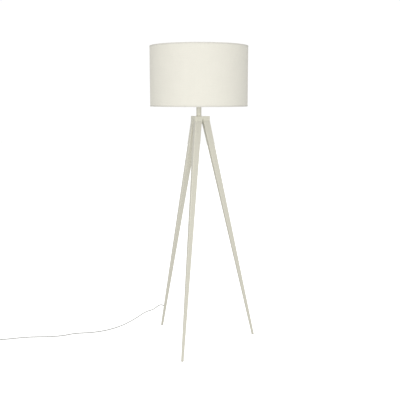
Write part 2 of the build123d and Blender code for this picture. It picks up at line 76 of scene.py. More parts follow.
def new_material(name, roughness, **sockets):
    """A material with a Principled shader and these constant sockets; gives its tree and shader."""
    material = bpy.data.materials.new(name)
    material.use_nodes = True
    shader = material.node_tree.nodes["Principled BSDF"]
    shader.inputs["Roughness"].default_value = roughness
    for socket, value in sockets.items():
        shader.inputs[socket.replace("_", " ")].default_value = value
    return material, material.node_tree, shader


def arithmetic(tree, operation, first, second=None, third=None):
    """A Math node; each input is a number or another node's output."""
    node = tree.nodes.new("ShaderNodeMath")
    node.operation = operation
    for socket, value in zip(node.inputs, (first, second, third)):
        if isinstance(value, bpy.types.NodeSocket):
            tree.links.new(value, socket)
        elif value is not None:
            socket.default_value = value
    return node.outputs[0]


def add_mesh(name, verts, faces, smooth=True):
    """A mesh object from points and faces, with its faces turned outwards."""
    mesh = bpy.data.meshes.new(name)
    mesh.from_pydata([tuple(v) for v in verts], [], faces)
    work = bmesh.new()
    work.from_mesh(mesh)
    bmesh.ops.remove_doubles(work, verts=work.verts, dist=1e-6)
    bmesh.ops.recalc_face_normals(work, faces=work.faces)
    work.to_mesh(mesh)
    work.free()
    mesh.polygons.foreach_set("use_smooth", [smooth] * len(mesh.polygons))
    piece = bpy.data.objects.new(name, mesh)
    scene.collection.objects.link(piece)
    return piece


corners = [(-floor_reach, -floor_reach, 0), (floor_reach, -floor_reach, 0),
           (floor_reach, floor_reach, 0), (-floor_reach, floor_reach, 0)]
floor = add_mesh("floor", corners, [(0, 1, 2, 3)], smooth=False)
sweep_white, tree, shader = new_material(
    "sweep_white", 0.9, Base_Color=(floor_white, floor_white, floor_white, 1),
    Specular_IOR_Level=0.1, Emission_Color=(1, 1, 1, 1))
seen = tree.nodes.new("ShaderNodeLightPath").outputs["Is Camera Ray"]
tree.links.new(arithmetic(tree, "MULTIPLY", seen, floor_glow),
               shader.inputs["Emission Strength"])
# From underneath the floor can be seen through, so that the feet and the hub show from below.
from_below = tree.nodes.new("ShaderNodeNewGeometry").outputs["Backfacing"]
tree.links.new(arithmetic(tree, "SUBTRACT", 1.0, from_below), shader.inputs["Alpha"])
floor.data.materials.append(sweep_white)

world = bpy.data.worlds.new("studio")
scene.world = world
world.use_nodes = True
backdrop = world.node_tree.nodes["Background"]
backdrop.inputs["Color"].default_value = (1.0, 1.0, 1.0, 1)
seen = world.node_tree.nodes.new("ShaderNodeLightPath").outputs["Is Camera Ray"]
world.node_tree.links.new(
    arithmetic(world.node_tree, "MULTIPLY_ADD", seen, white_point - room_light, room_light),
    backdrop.inputs["Strength"])


def soft_box(name, place, target, width, height, power):
    """A rectangular area light at place, aimed at target."""
    light = bpy.data.lights.new(name, "AREA")
    light.shape = "RECTANGLE"
    light.size = width
    light.size_y = height
    light.energy = power
    lamp = bpy.data.objects.new(name, light)
    lamp.location = place
    lamp.rotation_euler = (Vector(target) - Vector(place)).to_track_quat("-Z", "Y").to_euler()
    scene.collection.objects.link(lamp)


soft_box("front_box", box_place, box_target, box_side, box_side, box_power)

# ---- Legs ----------------------------------------------------------------------------------------
# Three folded sheet-steel legs, powder coated in a warm off-white. The coat is satin, with a fine
# orange peel and a slight cloudiness.
def start_group(name, inputs, outputs):
    """A shader node group with named sockets; gives its tree and its input and output nodes."""
    group = bpy.data.node_groups.new(name, "ShaderNodeTree")
    for socket, kind, value in inputs:
        made = group.interface.new_socket(name=socket, in_out="INPUT",
                                          socket_type="NodeSocket" + kind)
        if value is not None:
            made.default_value = value
    for socket, kind in outputs:
        group.interface.new_socket(name=socket, in_out="OUTPUT", socket_type="NodeSocket" + kind)
    return group, group.nodes.new("NodeGroupInput"), group.nodes.new("NodeGroupOutput")


def add_noise(tree, vector, scale, detail=2.0):
    """A noise texture on vector; scale is a number or an output. Gives its value."""
    node = tree.nodes.new("ShaderNodeTexNoise")
    tree.links.new(vector, node.inputs["Vector"])
    node.inputs["Detail"].default_value = detail
    if isinstance(scale, bpy.types.NodeSocket):
        tree.links.new(scale, node.inputs["Scale"])
    else:
        node.inputs["Scale"].default_value = scale
    return node.outputs["Fac"]


def centred(tree, value, swing):
    """A value that runs from 0 to 1, moved to run from -swing / 2 to swing / 2."""
    return arithmetic(tree, "MULTIPLY_ADD", value, swing, arithmetic(tree, "MULTIPLY", swing, -0.5))


# Skin of a baked or moulded surface: fine orange peel or tool texture, slow cloudy patches and
# the dust that settles on faces that look up.
dust_color = (0.62, 0.60, 0.57)
skin, skin_in, skin_out = start_group(
    "surface_skin",
    [("Vector", "Vector", None), ("Grain", "Float", 600.0), ("Patches", "Float", 14.0),
     ("Tone", "Float", 0.06), ("Dust", "Float", 0.1)],
    [("Height", "Float"), ("Tone", "Float"), ("Roughness", "Float"), ("Dust", "Float")])
coarse = add_noise(skin, skin_in.outputs["Vector"], skin_in.outputs["Grain"], 3.0)
fine = add_noise(skin, skin_in.outputs["Vector"],
                 arithmetic(skin, "MULTIPLY", skin_in.outputs["Grain"], 4.3), 1.0)
skin.links.new(arithmetic(skin, "MULTIPLY_ADD", fine, 0.35, coarse), skin_out.inputs["Height"])
patches = add_noise(skin, skin_in.outputs["Vector"], skin_in.outputs["Patches"], 4.0)
fleck = arithmetic(skin, "MULTIPLY_ADD", coarse, 0.4, arithmetic(skin, "MULTIPLY", patches, 0.6))
skin.links.new(arithmetic(skin, "ADD", centred(skin, fleck, skin_in.outputs["Tone"]), 1.0),
               skin_out.inputs["Tone"])
skin.links.new(centred(skin, patches, 0.22), skin_out.inputs["Roughness"])
up = skin.nodes.new("ShaderNodeSeparateXYZ")
skin.links.new(skin.nodes.new("ShaderNodeNewGeometry").outputs["Normal"], up.inputs[0])
facing_up = arithmetic(skin, "MAXIMUM", up.outputs["Z"], 0.0)
dusty = arithmetic(skin, "MULTIPLY", arithmetic(skin, "MULTIPLY", facing_up, facing_up), patches)
skin.links.new(arithmetic(skin, "MULTIPLY", dusty, skin_in.outputs["Dust"]),
               skin_out.inputs["Dust"])


def place_group(tree, group, vector="Object", **values):
    """Put a group in a material, fed by texture coordinates, with its own values."""
    node = tree.nodes.new("ShaderNodeGroup")
    node.node_tree = group
    where = tree.nodes.new("ShaderNodeTexCoord").outputs[vector]
    tree.links.new(where, node.inputs["Vector"])
    for socket, value in values.items():
        node.inputs[socket].default_value = value
    return node


def shaded(tree, color, tone):
    """A colour made lighter or darker by a value around 1."""
    node = tree.nodes.new("ShaderNodeVectorMath")
    node.operation = "SCALE"
    node.inputs[0].default_value = color
    tree.links.new(tone, node.inputs["Scale"])
    return node.outputs["Vector"]


def mixed(tree, share, first, second):
    """first where share is 0 and second where it is 1; second is a plain colour."""
    node = tree.nodes.new("ShaderNodeMix")
    node.data_type = "RGBA"
    tree.links.new(share, node.inputs[0])
    tree.links.new(first, node.inputs[6])
    node.inputs[7].default_value = (*second, 1)
    return node.outputs[2]


def raised(tree, shader, height, depth, strength=1.0):
    """Feed a height in metres times depth to the shader's normal."""
    bump = tree.nodes.new("ShaderNodeBump")
    bump.inputs["Distance"].default_value = depth
    bump.inputs["Strength"].default_value = strength
    tree.links.new(height, bump.inputs["Height"])
    tree.links.new(bump.outputs["Normal"], shader.inputs["Normal"])


def skinned(name, color, roughness, grain, depth, tone=0.06, patches=14.0, dust=0.1, **sockets):
    """A painted or moulded finish on the surface_skin group."""
    material, tree, shader = new_material(name, roughness, **sockets)
    group = place_group(tree, skin, Grain=grain, Patches=patches, Tone=tone, Dust=dust)
    tinted = shaded(tree, color, group.outputs["Tone"])
    tree.links.new(mixed(tree, group.outputs["Dust"], tinted, dust_color),
                   shader.inputs["Base Color"])
    rough = arithmetic(tree, "ADD", group.outputs["Roughness"], roughness)
    tree.links.new(arithmetic(tree, "ADD", rough, group.outputs["Dust"]),
                   shader.inputs["Roughness"])
    raised(tree, shader, group.outputs["Height"], depth)
    return material


def dress(material, *names):
    """Give these pieces, CAD nodes or new ones, a material."""
    for name in names:
        piece = bpy.data.objects[name]
        piece.data.materials.clear()
        piece.data.materials.append(material)


powder_coat = skinned("powder_coat", (0.690, 0.670, 0.570), 0.46, grain=1400.0, depth=0.00006,
                      tone=0.07, patches=9.0, dust=0.10)
leg_names = ["right", "left", "front"]
dress(powder_coat, *["leg_" + name for name in leg_names])

# ---- Foot pads -----------------------------------------------------------------------------------
# Pale moulded plugs that close the legs' lower ends and stand on the floor.
foot_plastic = skinned("foot_plastic", (0.50, 0.49, 0.42), 0.55, grain=900.0, depth=0.00004)
dress(foot_plastic, *["foot_pad_" + name for name in leg_names])

# ---- Hub -----------------------------------------------------------------------------------------
# Cast triangular cap over the legs' upper ends, in the same coat on a slightly rougher casting. Its
# colour is lighter than the legs' coat: painted light, a lit copy of the same paint.
hub_coat = skinned("hub_coat", (0.765, 0.745, 0.625), 0.48, grain=1100.0, depth=0.00008,
                   tone=0.07, patches=22.0, dust=0.12)
dress(hub_coat, "hub_cap")

# ---- Fixings inside the hub ----------------------------------------------------------------------
# Zinc-plated plate, threaded blocks, bolts, washers and nuts. They show only from below.
def stretched(tree, vector, factors):
    """vector with its three parts multiplied by factors."""
    node = tree.nodes.new("ShaderNodeVectorMath")
    node.operation = "MULTIPLY"
    tree.links.new(vector, node.inputs[0])
    node.inputs[1].default_value = factors
    return node.outputs["Vector"]


# Rolled, turned or plated metal: fine lines along Z and a slow tarnish.
brushed, brushed_in, brushed_out = start_group(
    "worked_metal",
    [("Vector", "Vector", None), ("Lines", "Float", 900.0), ("Tarnish", "Float", 0.25)],
    [("Height", "Float"), ("Tone", "Float"), ("Roughness", "Float")])
lines = add_noise(brushed, stretched(brushed, brushed_in.outputs["Vector"], (1, 1, 0.05)),
                  brushed_in.outputs["Lines"], 2.0)
cloud = add_noise(brushed, brushed_in.outputs["Vector"], 90.0, 5.0)
brushed.links.new(lines, brushed_out.inputs["Height"])
brushed.links.new(
    arithmetic(brushed, "SUBTRACT", 1.0,
               arithmetic(brushed, "MULTIPLY", cloud, brushed_in.outputs["Tarnish"])),
    brushed_out.inputs["Tone"])
brushed.links.new(arithmetic(brushed, "ADD", centred(brushed, cloud, 0.2),
                             centred(brushed, lines, 0.12)), brushed_out.inputs["Roughness"])


def metal(name, color, roughness, lines=900.0, depth=0.00001, tarnish=0.25):
    """A bare or plated metal on the worked_metal group."""
    material, tree, shader = new_material(name, roughness, Metallic=1.0)
    group = place_group(tree, brushed, Lines=lines, Tarnish=tarnish)
    tree.links.new(shaded(tree, color, group.outputs["Tone"]), shader.inputs["Base Color"])
    tree.links.new(arithmetic(tree, "ADD", group.outputs["Roughness"], roughness),
                   shader.inputs["Roughness"])
    raised(tree, shader, group.outputs["Height"], depth)
    return material


zinc_steel = metal("zinc_steel", (0.62, 0.63, 0.64), 0.36, lines=700.0, tarnish=0.3)
dress(zinc_steel, "mounting_plate", "leg_bolts", "leg_washers", "rod_washer", "rod_nut",
      *["leg_insert_" + name for name in leg_names])

# ---- Stem ----------------------------------------------------------------------------------------
# Coated steel tube with a turned cap. A bush centres the rod in it and a nut locks it from above.
dress(powder_coat, "stem_tube", "stem_cap")
dress(zinc_steel, "stem_bush", "stem_lock_nut")

# ---- Threaded rod --------------------------------------------------------------------------------
# Hollow M10 rod through the stem, with a 1 mm thread at both ends for the nuts and the lampholder.
def add_rings(name, rings, closed=True, looped=False, capped=False, smooth=True):
    """A surface through rings of points; looped joins the last ring to the first."""
    size = len(rings[0])
    verts = [p for ring in rings for p in ring]
    faces = []
    steps = len(rings) if looped else len(rings) - 1
    for j in range(steps):
        low, high = j * size, (j + 1) % len(rings) * size
        for i in range(size if closed else size - 1):
            k = (i + 1) % size
            faces.append((low + i, low + k, high + k, high + i))
    if capped:
        faces.append(tuple(range(size - 1, -1, -1)))
        faces.append(tuple((len(rings) - 1) * size + i for i in range(size)))
    return add_mesh(name, verts, faces, smooth)


def finish_piece(piece, body, slot, material, *replaced):
    """Material, body and the CAD nodes that a new piece stands for; slot is not used."""
    piece.data.materials.append(material)
    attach(piece, body)
    if replaced:
        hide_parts(*replaced)
    return piece


def thread_profile(low, high, pitch, crest, depth, steps=6):
    """Rings of a single-start thread: (height, crest radius, depth, pitch) for each ring."""
    rings = int((high - low) / pitch * steps)
    return [(low + (high - low) * i / rings, crest, depth, pitch) for i in range(rings + 1)]


def threaded(name, profile, bore, segments=40):
    """A hollow bar with threads; a ring with depth 0 is plain."""
    rings = []
    low, high = profile[0][0], profile[-1][0]
    for z, crest, depth, pitch in profile:
        ring = []
        for i in range(segments):
            angle = 2 * pi * i / segments
            wave = 0.5 - 0.5 * cos(2 * pi * z / pitch - angle)
            radius = crest - depth * wave
            ring.append((radius * cos(angle), radius * sin(angle), z))
        rings.append(ring)
    for z in (high, low):
        rings.append([(bore * cos(2 * pi * i / segments), bore * sin(2 * pi * i / segments), z)
                      for i in range(segments)])
    return add_rings(name, rings, looped=True)


rod_low, rod_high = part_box("threaded_rod")
rod_radius = rod_high.x
rod_bore = 0.0035
rod_pitch = 0.001
rod_thread_depth = 0.0006
thread_length = 0.028
rod_rings = thread_profile(rod_low.z, rod_low.z + thread_length, rod_pitch, rod_radius,
                           rod_thread_depth)
rod_rings += [(z, rod_radius, 0.0, rod_pitch) for z in
              (rod_low.z + thread_length + 0.001, rod_high.z - thread_length / 2 - 0.001)]
rod_rings += thread_profile(rod_high.z - thread_length / 2, rod_high.z, rod_pitch, rod_radius,
                            rod_thread_depth)
rod = threaded("threaded_rod_turned", rod_rings, rod_bore, segments=28)
finish_piece(rod, "lamp", "zinc_steel", zinc_steel, "threaded_rod")

# ---- Lampholder ----------------------------------------------------------------------------------
# Moulded white holder: a base cup screwed on the rod and a body with a coarse outer thread that
# takes the clamp ring. Its ceramic disc, screw shell and contacts are inside.
def sharpen(piece, angle=35):
    """Crisp edges where faces meet at more than angle degrees, and rounded shading elsewhere."""
    piece.data.set_sharp_from_angle(angle=radians(angle))


holder_plastic = skinned("holder_plastic", (0.72, 0.71, 0.67), 0.38, grain=1800.0, depth=0.00002,
                         tone=0.03)
ceramic = skinned("ceramic", (0.78, 0.76, 0.70), 0.25, grain=500.0, depth=0.00002, tone=0.05,
                  Coat_Weight=0.4)
brass = metal("brass", (0.80, 0.62, 0.30), 0.3, lines=600.0)
nickel = metal("nickel", (0.70, 0.68, 0.64), 0.25, lines=800.0, tarnish=0.15)
solder = metal("solder", (0.55, 0.56, 0.57), 0.42, lines=300.0, depth=0.00004)
dress(holder_plastic, "holder_base", "shade_clamp_ring")
dress(ceramic, "holder_insert")
dress(brass, "screw_shell", "centre_contact")
dress(nickel, "terminal_screws", "bulb_cap", "switch_spindle")
dress(solder, "bulb_contact")

holder_low, holder_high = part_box("holder_body")
ring_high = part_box("shade_clamp_ring")[1]
holder_radius = 0.0195
holder_bore = 0.0143
holder_thread_pitch = 0.003
holder_thread_depth = 0.0007
flange_radius = holder_high.x
flange_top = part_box("shade_spider")[1].z - 0.0023
rim = 0.001
flange_edge = 0.0004
flange_step = 0.0022
holder_rings = [(holder_low.z, holder_radius - flange_step),
                (holder_low.z, flange_radius - flange_edge),
                (holder_low.z + flange_edge, flange_radius),
                (flange_top - flange_edge, flange_radius),
                (flange_top, flange_radius - flange_edge), (flange_top, holder_radius)]
holder_rings = [(z, r, 0.0, holder_thread_pitch) for z, r in holder_rings]
holder_rings.append((ring_high.z, holder_radius, 0.0, holder_thread_pitch))
holder_rings += thread_profile(ring_high.z + 0.0006, holder_high.z - 0.003, holder_thread_pitch,
                               holder_radius, holder_thread_depth, steps=10)
holder_rings += [(holder_high.z - 0.0024, holder_radius - holder_thread_depth, 0.0, 1.0),
                 (holder_high.z - rim, holder_radius - holder_thread_depth, 0.0, 1.0),
                 (holder_high.z, holder_radius - holder_thread_depth - rim, 0.0, 1.0)]
holder_body = threaded("holder_body_moulded", holder_rings, holder_bore, segments=72)
sharpen(holder_body, 50)
finish_piece(holder_body, "lamp", "holder_plastic", holder_plastic, "holder_body")

# ---- Turn switch ---------------------------------------------------------------------------------
# Fluted knob on a plated spindle, on the right side of the lampholder.
knob_plastic = skinned("knob_plastic", (0.70, 0.69, 0.65), 0.42, grain=1600.0, depth=0.00002,
                       tone=0.03)
dress(knob_plastic, "switch_knob")

# ---- Bulb ----------------------------------------------------------------------------------------
# Opal glass bulb with a plated screw cap and a black glass insulator.
def turned(name, profile, segments=72, looped=True, capped=False):
    """A piece turned about Z from (radius, height) points."""
    rings = [[(r * cos(2 * pi * i / segments), r * sin(2 * pi * i / segments), z)
              for i in range(segments)] for r, z in profile]
    return add_rings(name, rings, looped=looped, capped=capped)


opal_glass, tree, shader = new_material(
    "opal_glass", 0.18, Subsurface_Weight=0.15,
    Subsurface_Radius=(0.002, 0.002, 0.0018), Subsurface_Scale=1.0, Coat_Weight=0.3,
    Coat_Roughness=0.08)
group = place_group(tree, skin, Grain=120.0, Patches=30.0, Tone=0.03, Dust=0.08)
tree.links.new(shaded(tree, (0.92, 0.92, 0.90), group.outputs["Tone"]), shader.inputs["Base Color"])
tree.links.new(arithmetic(tree, "ADD", group.outputs["Dust"], 0.16), shader.inputs["Roughness"])
black_glass = skinned("black_glass", (0.012, 0.012, 0.014), 0.12, grain=300.0, depth=0.00002)
dress(black_glass, "bulb_insulator")

bulb_low, bulb_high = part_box("bulb_glass")
bulb_radius = bulb_high.x
bulb_neck = 0.0124
neck_top = bulb_low.z + 0.009
globe_z = bulb_high.z - bulb_radius
shoulder = radians(-42)
globe_steps = 24
flank_steps = 14
glass_wall = 0.001
# The round part, then a smooth flank down to the neck.
bulb_outline = []
for i in range(globe_steps + 1):
    angle = pi / 2 + (shoulder - pi / 2) * i / globe_steps
    bulb_outline.append(Vector((bulb_radius * cos(angle), globe_z + bulb_radius * sin(angle))))
start = bulb_outline[-1]
end = Vector((bulb_neck, neck_top))
slope = Vector((sin(shoulder), -cos(shoulder)))
reach = (start - end).length / 2
for i in range(1, flank_steps + 1):
    t = i / flank_steps
    first = start + slope * reach
    second = end + Vector((0, reach * 0.8))
    bulb_outline.append((1 - t) ** 3 * start + 3 * (1 - t) ** 2 * t * first
                        + 3 * (1 - t) * t * t * second + t ** 3 * end)
bulb_outline.append(Vector((bulb_neck, bulb_low.z)))
bulb = turned("bulb_glass_blown", [(max(p.x, 0.0), p.y) for p in bulb_outline], looped=False)
bulb.modifiers.new("glass_wall", "SOLIDIFY").thickness = glass_wall
finish_piece(bulb, "lamp", "opal_glass", opal_glass, "bulb_glass")


# ---- Shade frame ---------------------------------------------------------------------------------
# White-enamelled steel wire: a top ring, a bottom ring and three arms welded to a fitter ring that
# sits on the lampholder under the clamp ring.
white_wire = skinned("white_wire", (0.76, 0.75, 0.72), 0.34, grain=700.0, depth=0.00005, tone=0.04,
                     dust=0.2)
arm_azimuths = [radians(a) for a in (60, 180, 300)]
spider_low, spider_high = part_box("shade_spider")
top_wire_low, top_wire_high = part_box("shade_top_wire")
wire_radius = (top_wire_high.z - top_wire_low.z) / 2
ring_radius = top_wire_high.x - wire_radius
fitter_radius = 0.029
fitter_bore = 0.02
fitter_thickness = 0.002
arm_radius = 0.0018
arm_steps = 20
arm_sag = 0.35
bead_length = 0.007
bead_radius = 0.0022
bead_steps = 6
fitter_low = spider_high.z - fitter_thickness


def wire_ring(name, radius, height, thickness, segments=160):
    """A closed ring of round wire."""
    around = 14
    rings = []
    for i in range(segments):
        angle = 2 * pi * i / segments
        ring = []
        for k in range(around):
            turn = 2 * pi * k / around
            reach = radius + thickness * cos(turn)
            ring.append((reach * cos(angle), reach * sin(angle), height + thickness * sin(turn)))
        rings.append(ring)
    return add_rings(name, rings, looped=True)


def round_bar(name, points, radii, around=14):
    """A round bar along points, with a radius at each and closed ends."""
    rings = []
    for i, point in enumerate(points):
        line = (points[min(i + 1, len(points) - 1)] - points[max(i - 1, 0)]).normalized()
        side = line.cross(Vector((0, 0, 1)))
        side = side.normalized() if side.length > 1e-4 else Vector((1, 0, 0))
        rise = side.cross(line)
        rings.append([point + radii[i] * (side * cos(2 * pi * k / around)
                                          + rise * sin(2 * pi * k / around))
                      for k in range(around)])
    return add_rings(name, rings, capped=True)


def joined(name, pieces):
    """One object made of several."""
    base = pieces[0]
    work = bmesh.new()
    for piece in pieces:
        work.from_mesh(piece.data)
    work.to_mesh(base.data)
    work.free()
    for piece in pieces[1:]:
        bpy.data.objects.remove(piece)
    base.name = name
    return base


top_wire = wire_ring("top_wire_ring", ring_radius, (top_wire_low.z + top_wire_high.z) / 2,
                     wire_radius)
finish_piece(top_wire, "shade", "white_wire", white_wire, "shade_top_wire")

bottom_wire_z = spider_low.z + wire_radius
edge = 0.0004
fitter = turned("fitter", [
    (fitter_bore, fitter_low), (fitter_radius - edge, fitter_low),
    (fitter_radius, fitter_low + edge), (fitter_radius, spider_high.z - edge),
    (fitter_radius - edge, spider_high.z), (fitter_bore, spider_high.z)], segments=96)
frame_pieces = [fitter, wire_ring("bottom_ring", ring_radius, bottom_wire_z, wire_radius)]
arm_high = fitter_low - 0.0006
for i, azimuth in enumerate(arm_azimuths):
    out = Vector((cos(azimuth), sin(azimuth), 0))
    inner, outer = fitter_radius - 0.004, ring_radius - 0.001
    path = []
    for k in range(arm_steps + 1):
        t = k / arm_steps
        eased = t + arm_sag * t * (1 - t) * (2 * t - 1)
        path.append(out * (inner + (outer - inner) * t)
                    + Vector((0, 0, arm_high + (bottom_wire_z - arm_high) * eased)))
    frame_pieces.append(round_bar(f"arm_{i}", path, [arm_radius] * len(path)))
    bead_line = Vector((-sin(azimuth), cos(azimuth), 0))
    bead_centre = path[-1] - out * 0.0012 + Vector((0, 0, 0.0004))
    places = [2 * k / bead_steps - 1 for k in range(bead_steps + 1)]
    bead = [bead_centre + bead_line * (bead_length / 2 * place) for place in places]
    bead_radii = [bead_radius * sqrt(max(1 - (place / 1.1) ** 2, 0.05)) for place in places]
    frame_pieces.append(round_bar(f"bead_{i}", bead, bead_radii, around=10))
spider = joined("shade_frame", frame_pieces)
sharpen(spider, 50)
finish_piece(spider, "shade", "white_wire", white_wire, "shade_spider")

# ---- Shade cloth ---------------------------------------------------------------------------------
# Off-white linen-look cloth laminated to a stiff white liner. Its ends overlap in a glued seam at
# the back, and it is stretched flat round both wire rings.

# Plain weave of slubby yarn. The vector is in metres along and up the cloth; a yarn goes over
# and under its neighbours, and its thickness and shade change slowly along its length.
weave, weave_in, weave_out = start_group(
    "plain_weave",
    [("Vector", "Vector", None), ("Pitch", "Float", 0.0008), ("Slub", "Float", 0.5)],
    [("Height", "Float"), ("Tone", "Float"), ("Gap", "Float")])
count = weave.nodes.new("ShaderNodeVectorMath")
count.operation = "DIVIDE"
pitch_vector = weave.nodes.new("ShaderNodeCombineXYZ")
for axis in "XYZ":
    weave.links.new(weave_in.outputs["Pitch"], pitch_vector.inputs[axis])
weave.links.new(weave_in.outputs["Vector"], count.inputs[0])
weave.links.new(pitch_vector.outputs[0], count.inputs[1])
threads = weave.nodes.new("ShaderNodeSeparateXYZ")
weave.links.new(count.outputs["Vector"], threads.inputs[0])


def yarn(along, across, phase, stretch):
    """Height and thickness of the yarns that run in one direction."""
    number = arithmetic(weave, "FLOOR", across)
    inside = arithmetic(weave, "SUBTRACT", arithmetic(weave, "FRACT", across), 0.5)
    thickness = add_noise(weave, stretched(weave, weave_in.outputs["Vector"], stretch), 1.0, 3.0)
    bulge = arithmetic(weave, "MULTIPLY_ADD", centred(weave, thickness, weave_in.outputs["Slub"]),
                       1.0, 0.5)
    ratio = arithmetic(weave, "DIVIDE", inside, bulge)
    round_top = arithmetic(weave, "MAXIMUM", arithmetic(
        weave, "SUBTRACT", 1.0, arithmetic(weave, "MULTIPLY", ratio, ratio)), 0.0)
    turn = arithmetic(weave, "ADD", arithmetic(weave, "ADD", along, number), phase)
    over = arithmetic(weave, "MULTIPLY_ADD",
                      arithmetic(weave, "SINE", arithmetic(weave, "MULTIPLY", turn, pi)), 0.3, 0.7)
    return arithmetic(weave, "MULTIPLY", arithmetic(weave, "SQRT", round_top), over), thickness


warp_height, warp_thickness = yarn(threads.outputs["Y"], threads.outputs["X"], 0.5, (1150, 26, 1))
weft_height, weft_thickness = yarn(threads.outputs["X"], threads.outputs["Y"], 1.5, (26, 1150, 1))
top = arithmetic(weave, "MAXIMUM", warp_height, weft_height)
weave.links.new(top, weave_out.inputs["Height"])
weave.links.new(
    arithmetic(weave, "MULTIPLY_ADD", arithmetic(weave, "ADD", warp_thickness, weft_thickness),
               0.5, 0.5), weave_out.inputs["Tone"])
weave.links.new(arithmetic(weave, "SUBTRACT", 1.0, top), weave_out.inputs["Gap"])

fabric_low, fabric_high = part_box("shade_fabric")
shade_radius = fabric_high.x
cloth_thickness = 0.0006
liner_thickness = 0.0008
overlap = 0.014
seam_azimuth = radians(97)
cloth_columns = 288
cloth_rows = 36
cloth_turn = 2 * pi + overlap / shade_radius
climb_length = 0.012             # radians of turn in which the cloth climbs on its own start
linen_pitch = 0.00085            # one yarn
tape_pitch = 0.0006
liner_overlap = 0.03             # radians of turn
liner_offset = 0.02


def cloth_radius(turn, height, radius):
    """The cloth isn't quite even: slow waves of a few tenths of a millimetre between the rings."""
    share = (height - fabric_low.z) / (fabric_high.z - fabric_low.z)
    where = Vector((cos(turn) * 2.2, sin(turn) * 2.2, height * 9.0))
    wave = noise.noise(where) * 0.0004 + noise.noise(where * 3.1) * 0.00014
    return radius + wave * sin(pi * share) - 0.0001


def wall(name, radius, thickness, turn_from, turn_to, columns, rows, lift):
    """A curved sheet with both faces and edges, and UVs in metres. lift is added to the radius."""
    verts, spots = [], []
    for j in range(rows + 1):
        height = fabric_low.z + (fabric_high.z - fabric_low.z) * j / rows
        for i in range(columns + 1):
            turn = turn_from + (turn_to - turn_from) * i / columns
            reach = cloth_radius(turn, height, radius) + lift(turn - turn_from)
            spots.append((turn * shade_radius, height))
            verts.append((reach * cos(turn), reach * sin(turn), height))
    faces = []
    for j in range(rows):
        for i in range(columns):
            a = j * (columns + 1) + i
            faces.append((a, a + 1, a + columns + 2, a + columns + 1))
    mesh = bpy.data.meshes.new(name)
    mesh.from_pydata(verts, [], faces)
    layer = mesh.uv_layers.new(name="cloth")
    for loop in mesh.loops:
        layer.data[loop.index].uv = spots[loop.vertex_index]
    mesh.polygons.foreach_set("use_smooth", [True] * len(mesh.polygons))
    piece = bpy.data.objects.new(name, mesh)
    scene.collection.objects.link(piece)
    body = piece.modifiers.new("thickness", "SOLIDIFY")
    body.thickness = thickness
    body.offset = -1.0
    return piece


def cloth_lift(turned_by):
    """The last stretch of cloth climbs on to its own start."""
    climb = (turned_by - 2 * pi + climb_length) / climb_length
    return cloth_thickness * min(max(climb, 0.0), 1.0)


def cloth_material(name, color, pitch, depth, sheen):
    """Woven cloth: yarns in relief, painted shade in the gaps between the yarns, and slubs and slow
    patches in its tone.
    """
    material, tree, shader = new_material(name, 0.86, Specular_IOR_Level=0.25,
                                          Sheen_Weight=sheen, Sheen_Roughness=0.5)
    cloth = place_group(tree, weave, vector="UV", Pitch=pitch, Slub=0.36)
    where = cloth.inputs["Vector"].links[0].from_socket
    patches = add_noise(tree, stretched(tree, where, (14, 22, 1)), 1.0, 4.0)
    across = add_noise(tree, stretched(tree, where, (9, 420, 1)), 1.0, 2.0)
    upward = add_noise(tree, stretched(tree, where, (420, 9, 1)), 1.0, 2.0)
    tone = arithmetic(tree, "MULTIPLY_ADD", cloth.outputs["Tone"], 0.10, 0.95)
    for value, swing in ((patches, 0.035), (across, 0.05), (upward, 0.05)):
        tone = arithmetic(tree, "ADD", tone, centred(tree, value, swing))
    # The gaps between the yarns are darkened: painted shade in the weave's hollows.
    painted_gap_shade = arithmetic(tree, "MULTIPLY", cloth.outputs["Gap"], 0.16)
    tone = arithmetic(tree, "SUBTRACT", tone, painted_gap_shade)
    tree.links.new(shaded(tree, color, tone), shader.inputs["Base Color"])
    tree.links.new(arithmetic(tree, "MULTIPLY_ADD", cloth.outputs["Gap"], 0.1, 0.82),
                   shader.inputs["Roughness"])
    raised(tree, shader, cloth.outputs["Height"], depth)
    return material


linen = cloth_material("linen", (0.785, 0.765, 0.680), linen_pitch, 0.00022, 0.12)
# The hem tape's darker colour is painted shade: it stands in for the thin shadow line along each
# wire ring.
hem_tape = cloth_material("hem_tape", (0.700, 0.685, 0.625), tape_pitch, 0.00015, 0.1)
liner_sheet = skinned("liner_sheet", (0.90, 0.90, 0.88), 0.42, grain=260.0, depth=0.00008,
                      tone=0.03, dust=0.05)

cloth = wall("shade_cloth", shade_radius, cloth_thickness, seam_azimuth,
             seam_azimuth + cloth_turn, cloth_columns, cloth_rows, cloth_lift)
finish_piece(cloth, "shade", "linen", linen, "shade_fabric")
liner = wall("shade_liner_sheet", shade_radius - cloth_thickness - 0.0001, liner_thickness,
             seam_azimuth + liner_offset, seam_azimuth + liner_offset + 2 * pi + liner_overlap,
             192, 18,
             lambda turned_by: -0.0006 * min(max((turned_by - 2 * pi + 0.01) / 0.01, 0.0), 1.0))
finish_piece(liner, "shade", "liner_sheet", liner_sheet, "shade_liner")

# ---- Rolled hems ---------------------------------------------------------------------------------
# A narrow tape of the same cloth, folded round each wire ring and glued down inside and outside.
# The tape is coloured darker than the cloth: painted shade along both rims.
hem_low, hem_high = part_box("shade_top_hem")
hem_thickness = 0.0004
hem_depth = hem_high.z - hem_low.z
hem_outer = hem_high.x
hem_inner = ring_radius - wire_radius - hem_thickness
hem_columns = 240


def hem_profile():
    """Across the tape, from its outer lower edge over the fold to its inner lower edge."""
    middle = (hem_outer + hem_inner) / 2
    half = (hem_outer - hem_inner) / 2
    profile = [(hem_outer, -hem_depth), (hem_outer, -hem_depth * 0.6)]
    for k in range(9):
        turn = pi * k / 8
        profile.append((middle + half * cos(turn), -half * 0.8 + half * 0.8 * sin(turn)))
    profile += [(hem_inner, -hem_depth * 0.6), (hem_inner, -hem_depth * 0.92)]
    return profile


